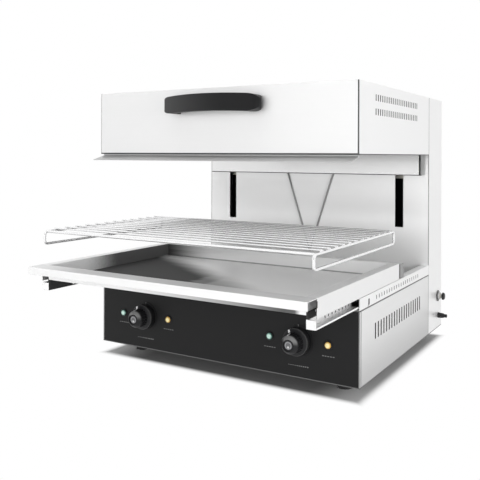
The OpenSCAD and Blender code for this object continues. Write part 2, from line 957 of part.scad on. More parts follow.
grip_end_r = 16;
grip_end_y = 14;
grip_end_x = handle_w / 2 - grip_end_r;
// The front arc meets the round ends smoothly
bow_r = (pow(grip_end_x, 2) + pow(handle_reach - grip_end_y, 2) - pow(grip_end_r, 2))
        / (2 * (handle_reach - grip_end_y - grip_end_r));
bow_y = handle_reach - bow_r;
grip_foot = 28;
grip_screw_x = handle_w / 2 - grip_foot / 2;
grip_screw_z = case_top - handle_drop - handle_h / 2;

// Plan of the bow: a front arc between round ends that tuck back towards the head
module grip_outline() {
    side_x = grip_end_x * bow_r / (bow_r - grip_end_r);
    intersection() {
        translate([0, bow_y]) circle(r = bow_r, $fn = 192);
        translate([-side_x, 0]) square([2 * side_x, handle_reach + 1]);
    }
    for (side = [-1, 1])
        intersection() {
            translate([side * grip_end_x, grip_end_y]) circle(r = grip_end_r);
            translate([-handle_w, 0]) square([2 * handle_w, handle_reach]);
        }
}

// Plan of the finger gap behind the grip
module finger_gap() {
    half = handle_w / 2 - grip_foot;
    r = 10;
    corner_y = bow_y + sqrt(pow(bow_r - grip_t, 2) - pow(half - r, 2)) - r;
    intersection() {
        translate([0, bow_y]) circle(r = bow_r - grip_t, $fn = 192);
        translate([r - half, -1]) square([2 * (half - r), handle_reach]);
    }
    translate([-half, -1]) square([2 * half, corner_y + 1]);
    for (side = [-1, 1])
        translate([side * (half - r), corner_y]) circle(r = r);
}

// Front view of the grip: arched edges between rounded corners
module grip_face() {
    half = handle_w / 2;
    r = 11;
    stretch = 2;
    arch_x = half - stretch * r;
    steps = 12;
    edge = [for (i = [-steps : steps]) [arch_x * i / steps, handle_arch * (1 - pow(i / steps, 2))]];
    lower = [for (i = [0 : 2 * steps]) edge[i]];
    upper = [for (i = [2 * steps : -1 : 0]) edge[i] + [0, handle_h]];
    polygon(concat(lower, upper));
    translate([-half, r]) square([2 * half, handle_h - 2 * r]);
    for (x = [-arch_x, arch_x], y = [r, handle_h - r])
        translate([x, y]) scale([stretch, 1]) circle(r = r);
}

module handle() {
    low = case_top - handle_drop - handle_h;
    color(black) placed() translate([0, head_front_y, low]) difference() {
        intersection() {
            mirror([0, 1, 0]) linear_extrude(handle_h + handle_arch) difference() {
                grip_outline();
                finger_gap();
            }
            translate([0, 1, 0]) rotate([90, 0, 0]) linear_extrude(handle_reach + 5) grip_face();
        }
        for (side = [-1, 1])
            translate([side * grip_screw_x, -10, handle_h / 2])
                along_y() cylinder(h = 20, r = 2);
    }
}

module handle_screws() {
    color(bright) placed()
        for (side = [-1, 1])
            translate([side * grip_screw_x, head_front_y, grip_screw_z])
                along_y() {
                    translate([0, 0, -10]) cylinder(h = 10 + sheet + eps, r = 2);
                    translate([0, 0, sheet]) cylinder(h = 2.4, r = 4);
                }
}

// ---------------------------------------------------------------- lift

module lift_arms() {
    color(steel) placed() both_sides() {
        block([slot_x - arm_w / 2, band_y + sheet, arm_z - arm_h / 2],
              [slot_x + arm_w / 2, guide_y - block_d / 2, arm_z + arm_h / 2]);
        block([slot_x - 16, guide_y - block_d / 2 - 4, arm_z - arm_h / 2],
              [slot_x + 16, guide_y - block_d / 2, arm_z + arm_h / 2]);
    }
}

module lift_beam() {
    x = slot_x - block_w / 2;
    color(steel) placed() difference() {
        block([-x, guide_y - beam / 2, arm_z - beam / 2], [x, guide_y + beam / 2, arm_z + beam / 2]);
        block([-x - 1, guide_y - beam / 2 + 2, arm_z - beam / 2 + 2],
              [x + 1, guide_y + beam / 2 - 2, arm_z + beam / 2 - 2]);
    }
}

module slide_blocks() {
    color("ivory") placed() both_sides()
        translate([slot_x, guide_y, arm_z]) difference() {
            block([-block_w / 2, -block_d / 2, -block_h / 2], [block_w / 2, block_d / 2, block_h / 2]);
            cylinder(h = block_h + 2, r = guide_r + running_gap, center = true);
        }
}

// ---------------------------------------------------------------- drip pan and rails

module drip_pan() {
    x = pan_wall_x;
    back = pan_rear_y - rear_flange;
    color("whitesmoke") placed() {
        difference() {
            union() {
                block([-x, bowl_front_y, pan_floor_z], [x, back, pan_rim_z]);
                block([-half_w, bowl_front_y, pan_rim_z - sheet], [half_w, pan_rear_y, pan_rim_z]);
            }
            block([-x + sheet, bowl_front_y + sheet, pan_floor_z + sheet],
                  [x - sheet, back - sheet, pan_rim_z + 1]);
        }
        both_sides()
            block([half_w - sheet, bowl_front_y, pan_skirt_z], [half_w, pan_rear_y, pan_rim_z]);
        block([-half_w, pan_front_y, pan_rim_z - sheet],
              [half_w, bowl_front_y + sheet, pan_rim_z]);
        block([-half_w, pan_front_y, pan_rim_z - apron_h],
              [half_w, pan_front_y + sheet, pan_rim_z]);
        block([-x, back - eps, pan_rim_z - sheet - 5],
              [x, pan_rear_y, pan_rim_z]);
    }
}

// C-shaped rail: the web stands against the bowl's side, the flanges point outwards and a plate
// closes the front end
module slide_rail(side) {
    web = rail_web_x;
    toe = 3;
    color(bright) placed() mirrored(side) difference() {
        union() {
            block([web, bowl_front_y, rail_low], [web + sheet, rail_rear_y, rail_top]);
            block([web, bowl_front_y, rail_low], [rail_reach, rail_rear_y, rail_low + sheet]);
            block([web, bowl_front_y, rail_high - sheet], [rail_reach, rail_rear_y, rail_high]);
            block([rail_reach - sheet, bowl_front_y, rail_low],
                  [rail_reach, rail_rear_y, rail_low + toe]);
            block([web, bowl_front_y, rail_low], [rail_reach, bowl_front_y + sheet, rail_high]);
        }
        translate([web, bowl_front_y + 67.5, rail_low + 5.6])
            slot_row(21, rail_slot_pitch, 3.4, 7);
    }
}

module slide_rail_left() slide_rail(-1);
module slide_rail_right() slide_rail(1);

// Rivets that hold the rails to the bowl's sides
module rail_rivets() {
    web = rail_web_x;
    color(bright) placed() both_sides()
        for (y = [bowl_front_y + 30, pan_rear_y - 60])
            translate([web + sheet, y, rail_top - 2.4])
                along_x() cylinder(h = 1, r = 1.6, $fn = 24);
}

// ---------------------------------------------------------------- rack

// A closed loop of wire in the plane of a side
module rack_loop() {
    r = frame_wire_r;
    y0 = rack_front_y + r;
    y1 = rack_front_y + rack_d - r;
    b = loop_bend;
    for (z = [rack_low_z, rack_top_z])
        translate([0, y0 + b, z]) along_y() cylinder(h = y1 - y0 - 2 * b, r = r, $fn = 24);
    for (y = [y0, y1])
        translate([0, y, rack_low_z + b]) cylinder(h = loop_h - 2 * b, r = r, $fn = 24);
    for (corner = [[y1 - b, rack_top_z - b, 0], [y0 + b, rack_top_z - b, 90],
                   [y0 + b, rack_low_z + b, 180], [y1 - b, rack_low_z + b, 270]])
        translate([0, corner[0], corner[1]])
            rotate([90, 0, 90]) rotate(corner[2])
                rotate_extrude(angle = 90) translate([b, 0]) circle(r = r, $fn = 24);
}

module wire_rack() {
    r = frame_wire_r;
    y0 = rack_front_y + r;
    y1 = rack_front_y + rack_d - r;
    pitch = (y1 - y0) / (cross_wires + 1);
    cross_z = rack_top_z + r + cross_wire_r - 0.5;
    color("silver") placed() {
        both_sides() translate([loop_x, 0, 0]) rack_loop();
        for (y = [y0 + loop_bend, y1 - loop_bend])
            translate([-loop_x, y, rack_top_z])
                along_x() cylinder(h = 2 * loop_x, r = r, $fn = 24);
        for (i = [1 : cross_wires])
            translate([-rack_w / 2, y0 + i * pitch, cross_z])
                along_x() cylinder(h = rack_w, r = cross_wire_r, $fn = 16);
    }
}

// ---------------------------------------------------------------- nodes

floor_plate();
side_panel_left();
side_panel_right();
control_panel();
deck_plate();
feet();
foot_screws();
rail_channel_left();
rail_channel_right();
pan_guides();
lamp_bezels();
lamps_green();
lamps_amber();
dial_plates();
thermostat_left();
thermostat_right();
terminal_block();
column_front();
column_casing();
rear_cover();
rear_screws();
diagonal_brace();
guide_rods();
guide_brackets();
strut_cylinders();
limit_switch();
switch_ring();
cable_gland();
head_shell();
head_front();
front_lip();
rear_band();
reflector();
insulation();
element_left();
element_right();
element_hangers();
element_terminals();
handle();
handle_screws();
lift_arms();
lift_beam();
slide_blocks();
strut_rods();
drip_pan();
slide_rail_left();
slide_rail_right();
rail_rivets();
wire_rack();
knob_left();
knob_cap_left();
shaft_left();
knob_right();
knob_cap_right();
shaft_right();
reset_button();
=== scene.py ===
import json
import math

import bmesh
import bpy
from mathutils import Matrix, Vector


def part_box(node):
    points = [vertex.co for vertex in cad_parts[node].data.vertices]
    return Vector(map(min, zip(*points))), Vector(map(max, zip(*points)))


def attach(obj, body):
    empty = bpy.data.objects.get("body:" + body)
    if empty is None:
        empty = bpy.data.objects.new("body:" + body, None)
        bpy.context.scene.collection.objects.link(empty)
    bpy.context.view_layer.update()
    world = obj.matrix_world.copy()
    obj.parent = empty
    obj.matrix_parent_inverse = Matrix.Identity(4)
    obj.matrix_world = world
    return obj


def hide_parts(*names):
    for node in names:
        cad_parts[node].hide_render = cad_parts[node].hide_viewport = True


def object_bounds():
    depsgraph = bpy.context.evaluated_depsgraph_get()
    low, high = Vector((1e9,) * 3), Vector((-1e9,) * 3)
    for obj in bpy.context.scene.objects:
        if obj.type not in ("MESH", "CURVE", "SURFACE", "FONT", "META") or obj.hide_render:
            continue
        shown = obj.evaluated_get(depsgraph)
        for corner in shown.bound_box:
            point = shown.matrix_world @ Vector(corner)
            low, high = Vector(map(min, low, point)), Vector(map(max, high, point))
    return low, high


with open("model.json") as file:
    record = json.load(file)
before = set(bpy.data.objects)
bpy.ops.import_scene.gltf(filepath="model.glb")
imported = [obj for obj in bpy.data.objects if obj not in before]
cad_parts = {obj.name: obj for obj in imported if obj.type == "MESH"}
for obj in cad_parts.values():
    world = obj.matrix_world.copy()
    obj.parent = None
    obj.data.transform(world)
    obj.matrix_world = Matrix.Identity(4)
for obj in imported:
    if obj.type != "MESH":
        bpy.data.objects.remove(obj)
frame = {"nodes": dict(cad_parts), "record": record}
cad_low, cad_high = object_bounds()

# ---- Camera, floor and light ---------------------------------------------------------------
# The grill stands on white studio paper under large soft lamps. The camera stands in front
# of its right corner, level with the lower edge of the raised head.
eye = Vector((0.9813, -1.19905, 0.43774))
turn_left = 31.21
roll = 0.23
lens_mm = 50.9
view_drop = 0.1771

camera_data = bpy.data.cameras.new("camera")
camera_data.sensor_width = 36
camera_data.lens = lens_mm
camera_data.shift_y = -view_drop
camera = bpy.data.objects.new("camera", camera_data)
camera.matrix_world = (Matrix.Translation(eye)
                       @ Matrix.Rotation(math.radians(turn_left), 4, "Z")
                       @ Matrix.Rotation(math.radians(90), 4, "X")
                       @ Matrix.Rotation(math.radians(roll), 4, "Z"))
bpy.context.collection.objects.link(camera)
bpy.context.scene.camera = camera
bpy.context.scene.view_settings.view_transform = "Standard"


def grey(level):
    return (level, level, level)


class Signal:
    """A number that changes over a surface: sums and products of it become Math nodes."""

    def __init__(self, finish, socket):
        self.finish = finish
        self.socket = socket

    def __add__(self, other):
        return self.finish.maths("ADD", self, other)

    def __sub__(self, other):
        return self.finish.maths("SUBTRACT", self, other)

    def __rsub__(self, other):
        return self.finish.maths("SUBTRACT", other, self)

    def __mul__(self, other):
        return self.finish.maths("MULTIPLY", self, other)

    def __abs__(self):
        return self.finish.maths("ABSOLUTE", self)

    def __gt__(self, other):
        return self.finish.maths("GREATER_THAN", self, other)

    __radd__ = __add__
    __rmul__ = __mul__


class Finish:
    """One surface finish: a node tree on a main shader whose constants sit on its sockets."""

    def __init__(self, name, color=None, roughness=0.5, metallic=0.0, **constants):
        self.material = bpy.data.materials.new(name)
        self.material.use_nodes = True
        self.tree = self.material.node_tree
        self.shader = self.tree.nodes["Principled BSDF"]
        if color:
            self.set(self.shader, "Base Color", (*color, 1))
            self.color = color
        self.set(self.shader, "Roughness", roughness)
        self.set(self.shader, "Metallic", metallic)
        for socket, value in constants.items():
            self.set(self.shader, socket.replace("_", " "), value)

    def set(self, node, socket, value):
        if isinstance(value, Signal):
            self.tree.links.new(value.socket, node.inputs[socket])
        else:
            node.inputs[socket].default_value = value

    def node(self, kind, settings=None, inputs=None, output=0):
        made = self.tree.nodes.new("ShaderNode" + kind)
        for name, value in (settings or {}).items():
            if name == "stops":
                self.ramp(made, value)
            else:
                setattr(made, name, value)
        for socket, value in (inputs or {}).items():
            self.set(made, socket, value)
        return Signal(self, made.outputs[output])

    def ramp(self, made, stops):
        elements = made.color_ramp.elements
        while len(elements) < len(stops):
            elements.new(1)
        for element, (place, color) in zip(elements, stops):
            element.position = place
            element.color = (*color, 1)

    def maths(self, operation, *values):
        return self.node("Math", {"operation": operation}, dict(enumerate(values)))

    def either(self, first, *others):
        """The strongest of several masks."""
        for other in others:
            first = self.maths("MAXIMUM", first, other)
        return first

    def axis(self, letter, source="Object"):
        place = self.node("TexCoord", output={"Object": 3, "Normal": 1}[source])
        return self.node("SeparateXYZ", inputs={0: place}, output="XYZ".index(letter))

    def noise(self, scales, detail=2.0):
        vector = self.node("Mapping", {}, {"Vector": self.node("TexCoord", output=3),
                                           "Scale": scales})
        return self.node("TexNoise", {}, {"Vector": vector, "Scale": 1.0, "Detail": detail})

    def rise(self, value, start, end):
        """Goes softly from 0 to 1 as the value goes from start to end."""
        return self.node("MapRange", {"interpolation_type": "SMOOTHSTEP"},
                         {"Value": value, "From Min": start, "From Max": end})

    def fall(self, value, start, end):
        """Goes softly from 1 to 0 as the value goes from start to end."""
        return 1 - self.rise(value, start, end)

    def facing(self, side):
        """1 on the faces that look to a side, such as +Z for up or -Y for the front."""
        normal = self.axis(side[1], "Normal")
        return self.rise(normal, 0.6, 0.8) if side[0] == "+" else self.fall(normal, -0.8, -0.6)

    def distance(self, across, up):
        """How far a place lies from a centre, from its two steps to it."""
        return self.maths("SQRT", across * across + up * up)

    def within(self, value, low, high, edge=0.0005):
        """1 where the value lies between low and high, with soft edges."""
        return (self.rise(value, low - edge, low + edge)
                * self.fall(value, high - edge, high + edge))

    def blend(self, factor, first, second):
        """A colour that goes from first to second as factor goes from 0 to 1."""
        first, second = (color if isinstance(color, Signal) else (*color, 1)
                         for color in (first, second))
        return self.node("Mix", {"data_type": "RGBA"}, {0: factor, 6: first, 7: second}, output=2)

    def paint(self, color):
        self.color = color
        self.set(self.shader, "Base Color", color)

    def cover(self, mask, color, dull=False):
        """Lays a colour over the finish where the mask is 1, for painted shade and light as well
        as real stains.
        """
        self.paint(self.blend(mask, self.color, color))
        if dull:
            self.metal = self.metal * (1 - mask)
            self.rough = self.rough + mask * (0.75 - self.rough)
            self.set(self.shader, "Metallic", self.metal)
            self.set(self.shader, "Roughness", self.rough)

    def line(self, letter, low, high, color):
        """A dark line between two places on an axis."""
        self.cover(self.within(self.axis(letter), low, high, 0.0003), color)

    def seam(self, letter, edge, width, color=grey(0.03)):
        """A dark line along a sheet's edge, used both for real joints and for painted shade in
        gaps. Its width is negative at the edge's high side.
        """
        beyond = math.copysign(0.001, width)
        self.line(letter, *sorted((edge + width, edge - beyond)), color)

    def bump(self, height, strength, distance):
        normal = self.node("Bump", {}, {"Height": height, "Strength": strength,
                                        "Distance": distance})
        self.set(self.shader, "Normal", normal)


def studio_floor():
    """White paper: it glows to pure white away from the base. Under the base its colour is
    darkened to a painted shadow over the real one, paler towards the base's ends.
    """
    reach = 9.0
    fade = 0.012
    end_shade_reach, end_shade_edge = -0.11, -0.015
    white, deep_shade, pale_shade = grey(0.92), grey(0.20), grey(0.70)
    mirrored_share = 0.9

    mesh = bpy.data.meshes.new("floor")
    corners = [(x * reach, y * reach, 0) for x, y in ((-1, -1), (1, -1), (1, 1), (-1, 1))]
    mesh.from_pydata(corners, [], [(0, 1, 2, 3)])
    floor = bpy.data.objects.new("floor", mesh)
    bpy.context.collection.objects.link(floor)

    paper = Finish("studio_floor", white, 0.9)
    outside = []
    for letter, low, high in zip("XY", *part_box("floor_plate")):
        centre, half = (low + high) / 2, (high - low) / 2
        outside.append(abs(paper.axis(letter) - centre) - half)
    clear = paper.rise(paper.either(*outside), -fade, fade)
    open_end = paper.rise(outside[0], end_shade_reach, end_shade_edge)
    paper.paint(paper.blend(clear, paper.blend(open_end, deep_shade, pale_shade), white))

    tree = paper.tree
    glow = tree.nodes.new("ShaderNodeEmission")
    rays = tree.nodes.new("ShaderNodeLightPath")
    seen = Signal(paper, rays.outputs["Is Camera Ray"]) * clear
    mirrored = Signal(paper, rays.outputs["Is Glossy Ray"]) * mirrored_share
    mix = tree.nodes.new("ShaderNodeMixShader")
    paper.set(mix, 0, seen + mirrored)
    tree.links.new(paper.shader.outputs[0], mix.inputs[1])
    tree.links.new(glow.outputs[0], mix.inputs[2])
    tree.links.new(mix.outputs[0], tree.nodes["Material Output"].inputs["Surface"])
    mesh.materials.append(paper.material)


def studio_world():
    """White all round, with a dark doorway on the camera's side that only reflections show."""
    fill = 0.32
    doorway = Vector((0.45, -0.86, 0.10)).normalized()
    doorway_edge, doorway_heart = 0.78, 0.98
    doorway_level = 0.55

    world = bpy.data.worlds.new("studio")
    bpy.context.scene.world = world
    world.use_nodes = True
    nodes, links = world.node_tree.nodes, world.node_tree.links
    shade = nodes["Background"]
    rays = nodes.new("ShaderNodeLightPath")
    place = nodes.new("ShaderNodeTexCoord")
    facing = nodes.new("ShaderNodeVectorMath")
    facing.operation = "DOT_PRODUCT"
    facing.inputs[1].default_value = doorway
    links.new(place.outputs["Generated"], facing.inputs[0])
    dark = nodes.new("ShaderNodeMapRange")
    dark.interpolation_type = "SMOOTHSTEP"
    for socket, value in (("From Min", doorway_edge), ("From Max", doorway_heart),
                          ("To Min", 1.0), ("To Max", doorway_level)):
        dark.inputs[socket].default_value = value
    links.new(facing.outputs["Value"], dark.inputs["Value"])
    seen = nodes.new("ShaderNodeMix")
    seen.inputs[2].default_value = fill
    links.new(rays.outputs["Is Glossy Ray"], seen.inputs[0])
    links.new(dark.outputs["Result"], seen.inputs[3])
    camera_too = nodes.new("ShaderNodeMath")
    camera_too.operation = "MAXIMUM"
    links.new(rays.outputs["Is Camera Ray"], camera_too.inputs[0])
    links.new(seen.outputs[0], camera_too.inputs[1])
    shade.inputs["Color"].default_value = (1, 1, 1, 1)
    links.new(camera_too.outputs[0], shade.inputs["Strength"])


def soft_light(name, place, aim, size, watts):
    """A square lamp that lights surfaces but doesn't show in them."""
    data = bpy.data.lights.new(name, "AREA")
    data.shape = "SQUARE"
    data.size = size
    data.energy = watts
    lamp = bpy.data.objects.new(name, data)
    lamp.visible_glossy = False
    toward = Vector(aim) - Vector(place)
    lamp.matrix_world = (Matrix.Translation(place)
                         @ toward.to_track_quat("-Z", "Y").to_matrix().to_4x4())
    bpy.context.collection.objects.link(lamp)


studio_floor()
studio_world()
middle = (cad_low + cad_high) / 2
for name, place, size, watts in (("overhead", (0.1, -0.4, 2.3), 1.8, 22),
                                 ("front_fill", (0.3, -2.8, 0.50), 1.4, 50),
                                 ("right_fill", (3.1, -1.1, 0.75), 1.4, 41),
                                 ("rear_fill", (-1.8, 2.6, 0.90), 1.4, 26)):
    soft_light(name, place, middle, size, watts)

# ---- Head casing ---------------------------------------------------------------------------
# The head is a folded box of brushed stainless sheet, open below, with two rows of punched
# slots on each side. A separate front cover with turned edges closes it.
stainless = grey(0.93)
satin = 0.36
gap = grey(0.03)


def brushed(name, color, roughness, depth=1.0, stain=0.02, metallic=0.5):
    """Brushed sheet: the grain lies level on upright faces and from side to side on flat ones."""
    lengthwise, crosswise = 5, 260
    steel = Finish(name, None, roughness, metallic)
    flat = abs(steel.axis("Z", "Normal")) > 0.7
    x, y, z = (steel.axis(letter) for letter in "XYZ")
    across = z * (1 - flat) + y * flat
    along = x + y * (1 - flat)
    grain_place = steel.node("CombineXYZ", {},
                             {0: along * lengthwise, 1: across * crosswise, 2: 0})
    grain = steel.node("TexNoise", {"noise_dimensions": "2D"},
                       {"Vector": grain_place, "Scale": 1, "Detail": 5, "Roughness": 0.7})
    cloud = steel.noise((3, 3, 3), detail=3)
    tone = (grain - 0.5) * 0.10 * depth + (cloud - 0.5) * stain * 2 + 0.5
    dark, light = (tuple(min(1.0, part * factor) for part in color) for factor in (0.86, 1.10))
    steel.paint(steel.blend(tone, dark, light))
    steel.metal = metallic
    steel.rough = roughness + (grain - 0.5) * 0.16 * depth + (cloud - 0.5) * 0.08
    steel.set(steel.shader, "Roughness", steel.rough)
    steel.bump(grain, 0.10 * depth, 0.0002)
    return steel


def punched(steel, node):
    """The cut edges inside the slots of a side sheet are dark, as no light gets there."""
    rim, rim_edge, face_edge = 0.004, 0.0005, 0.0001
    cut = steel.fall(abs(steel.axis("X", "Normal")), 0.90, 0.98)
    for letter, low, high in zip("XYZ", *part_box(node)):
        place = abs(steel.axis(letter) - (low + high) / 2)
        half = (high - low) / 2
        if letter == "X":
            cut = cut * steel.fall(place, half - face_edge, half + face_edge)
        else:
            cut = cut * steel.fall(place, half - rim, half - rim + rim_edge)
    steel.cover(cut, gap)


behaviour = frame["record"]["behaviour"]
body_of = {node: body for body, nodes in behaviour["bodies"].items() for node in nodes}


def dress(finish, *nodes):
    """Gives solids that stay as they are their finish."""
    for node in nodes:
        materials = frame["nodes"][node].data.materials
        materials.clear()
        materials.append(finish.material)


def eased(node, name, finish, radius, smallest_angle=30, segments=2, reshape=None):
    """A copy of a solid with its sharp edges rounded, to stand in for it on the same body."""
    mesh = frame["nodes"][node].data.copy()
    mesh.name = name
    shape = bmesh.new()
    shape.from_mesh(mesh)
    bmesh.ops.remove_doubles(shape, verts=shape.verts, dist=1e-6)
    bmesh.ops.dissolve_limit(shape, angle_limit=math.radians(1), verts=shape.verts,
                             edges=shape.edges)
    if reshape:
        reshape(shape)
    sharp = [edge for edge in shape.edges
             if edge.is_manifold and edge.calc_face_angle(0) > math.radians(smallest_angle)]
    bmesh.ops.bevel(shape, geom=sharp, offset=radius, offset_type="OFFSET", segments=segments,
                    profile=0.5, affect="EDGES", clamp_overlap=True)
    for face in shape.faces:
        face.smooth = True
    shape.to_mesh(mesh)
    shape.free()
    mesh.set_sharp_from_angle(angle=math.radians(38))
    mesh.materials.clear()
    mesh.materials.append(finish.material)
    piece = bpy.data.objects.new(name, mesh)
    bpy.context.collection.objects.link(piece)
    evener = piece.modifiers.new("even_shading", "WEIGHTED_NORMAL")
    evener.keep_sharp = True
    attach(piece, body_of[node])
    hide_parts(node)


shell_low, shell_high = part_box("head_shell")
shell_steel = brushed("head_stainless", stainless, satin)
# The near-black line along the casing's lower edge is painted shade in the gap under it.
shell_steel.seam("Z", shell_low[2], 0.0016)
punched(shell_steel, "head_shell")
eased("head_shell", "head_casing", shell_steel, 0.0006)

cover_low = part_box("head_front")[0]
cover_steel = brushed("cover_stainless", grey(0.78), satin)
# The two upright dark lines are the cover's joints with the casing; the dark line along its lower
# edge is painted shade in the gap above the lip.
cover_steel.seam("X", shell_high[0], -0.0016)
cover_steel.seam("X", shell_low[0], 0.0010)
cover_steel.seam("Z", cover_low[2], 0.0026)
eased("head_front", "head_front_cover", cover_steel, 0.0006)

# ---- Front lip and rear band ---------------------------------------------------------------
# The lip throws the heat back under the head. The band is a channel with open ends that closes
# the gap to the column. Both are folded stainless sheet, spot-welded to the head's casing.
lip_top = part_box("front_lip")[1][2]
shaded_top = 0.005
# The lip's steel is painted darker than the casing's, a painted shade, and its top strip by the
# head near black, a painted shadow.
lip_steel = brushed("lip_stainless", grey(0.50), 0.4)
in_shade = lip_steel.rise(lip_steel.axis("Z"), lip_top - shaded_top - 0.001,
                          lip_top - shaded_top + 0.001)
lip_steel.cover(in_shade, grey(0.05))
eased("front_lip", "heat_lip", lip_steel, 0.0004)

band_low, band_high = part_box("rear_band")
band_steel = brushed("band_stainless", stainless, 0.2, metallic=0.75)
# The dark lines along the band's lower edge and at its open right end are painted shade.
band_steel.seam("Z", band_low[2], 0.0018)
band_steel.seam("X", band_high[0], -0.0040)
eased("rear_band", "column_band", band_steel, 0.0005)

# ---- Reflector and elements ----------------------------------------------------------------
# Two bent tubular elements hang on plated hooks under a folded bright sheet, which has ceramic
# board on top. Heat has darkened the tubes and tinted the sheet. The terminals are brass.
mirror_sheet = brushed("reflector_sheet", (0.42, 0.41, 0.40), 0.3, stain=0.08)
dress(mirror_sheet, "reflector")


def mottled(name, roughness, metallic, scales, detail, dark, light):
    """A surface that goes in soft spots from a dark to a light colour; also gives the spots."""
    finish = Finish(name, None, roughness, metallic)
    spots = finish.noise(scales, detail=detail)
    finish.paint(finish.blend(spots, dark, light))
    return finish, spots


sheath, soot = mottled("element_sheath", 0.55, 0.8, (40, 40, 40), 4,
                       (0.06, 0.055, 0.05), (0.16, 0.15, 0.13))
sheath.bump(soot, 0.2, 0.0003)
dress(sheath, "element_left", "element_right")

plated = brushed("zinc_plate", (0.60, 0.61, 0.62), 0.38, depth=0.4)
dress(plated, "element_hangers", "foot_screws", "handle_screws", "rail_rivets",
      "thermostat_left", "thermostat_right", "shaft_left", "shaft_right", "guide_rods",
      "strut_rods")

board, fibres = mottled("ceramic_board", 0.95, 0.0, (200, 200, 30), 4,
                        (0.70, 0.67, 0.60), (0.88, 0.86, 0.80))
board.bump(fibres, 0.5, 0.001)
dress(board, "insulation")

brass = mottled("brass_terminals", 0.35, 1.0, (90, 90, 90), 3,
                (0.50, 0.36, 0.14), (0.78, 0.60, 0.28))[0]
dress(brass, "element_terminals")

# ---- Handle --------------------------------------------------------------------------------
# A black bow handle, moulded in heat-proof plastic and screwed on from inside the front cover.
# Its left end is painted a paler grey, a painted highlight where the light falls.


def moulded(name, color, roughness, grain=900.0, depth=0.15):
    """Black moulded plastic or paint with a fine even texture."""
    plastic = Finish(name, None, roughness, Specular_IOR_Level=0.22)
    texture = plastic.noise((grain, grain, grain), detail=2)
    cloud = plastic.noise((12, 12, 12), detail=2)
    lighter = tuple(part * 1.35 for part in color)
    plastic.paint(plastic.blend(cloud, color, lighter))
    plastic.set(plastic.shader, "Roughness", roughness + (cloud - 0.5) * 0.1)
    plastic.bump(texture, depth, 0.0002)
    return plastic


handle_low, handle_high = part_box("handle")
handle_plastic = moulded("handle_plastic", (0.006, 0.006, 0.0065), 0.46)
# The handle is painted paler towards its left end: a painted highlight.
unhighlighted_end = 0.06
left_end_highlight = handle_plastic.fall(handle_plastic.axis("X"), handle_low[0],
                           handle_high[0] - unhighlighted_end)
handle_plastic.cover(left_end_highlight * 0.5, grey(0.07))
eased("handle", "bow_handle", handle_plastic, 0.0045, smallest_angle=40, segments=4)

# ---- Column --------------------------------------------------------------------------------
# The column's front, casing and rear cover are separate stainless sheets. The lift arms run
# through two slots in the front, and a thin round bar bent to a V is welded across it. Inside are
# the guide rods, the lift beam on its nylon blocks and the painted gas springs.
# The face's steel is painted pure white, brighter than the other stainless, and is less metallic
# low down, so that it shows lighter in the shade under the head: painted light.
upper_face, lower_face = 0.42, 0.34
face_steel = brushed("column_stainless", grey(1.0), 0.2, metallic=0.75)
face_steel.set(face_steel.shader, "Metallic",
               face_steel.rise(face_steel.axis("Z"), lower_face, upper_face) * 0.4 + 0.15)
eased("column_front", "column_face", face_steel, 0.0005)

skin_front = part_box("column_casing")[0][1]
skin_steel = brushed("skin_stainless", stainless, satin)
skin_steel.seam("Y", skin_front, 0.0012, grey(0.30))
eased("column_casing", "column_skin", skin_steel, 0.0006)

back_steel = brushed("back_stainless", stainless, satin)
# The rear cover's faces that look forward into the column are painted near black and dull: painted
# shade.
back_steel.cover(back_steel.facing("-Y"), grey(0.01), dull=True)
eased("rear_cover", "column_back", back_steel, 0.0004)

bar_steel = brushed("brace_bar", grey(0.36), 0.4, depth=0.3)
dress(bar_steel, "diagonal_brace")
frame_steel = brushed("brushed_stainless", stainless, satin)
dress(frame_steel, "lift_beam", "guide_brackets")
arm_steel = brushed("arm_steel", grey(0.03), 0.6, metallic=0.1)
dress(arm_steel, "lift_arms")
spring_paint = moulded("spring_paint", grey(0.02), 0.35)
dress(spring_paint, "strut_cylinders")
nylon = moulded("ivory_nylon", (0.62, 0.60, 0.54), 0.5)
dress(nylon, "slide_blocks", "terminal_block", "limit_switch")

# ---- Rear screws ---------------------------------------------------------------------------
# Six zinc-plated pan-head screws with a cross recess hold the rear cover. Each stands on the
# sheet with its recess turned as the driver left it.
screw_head_r, screw_head_h = 0.004, 0.0024
screw_shank_r, screw_shank_l = 0.002, 0.008
recess_l, recess_w, recess_h = 0.0044, 0.0009, 0.0030


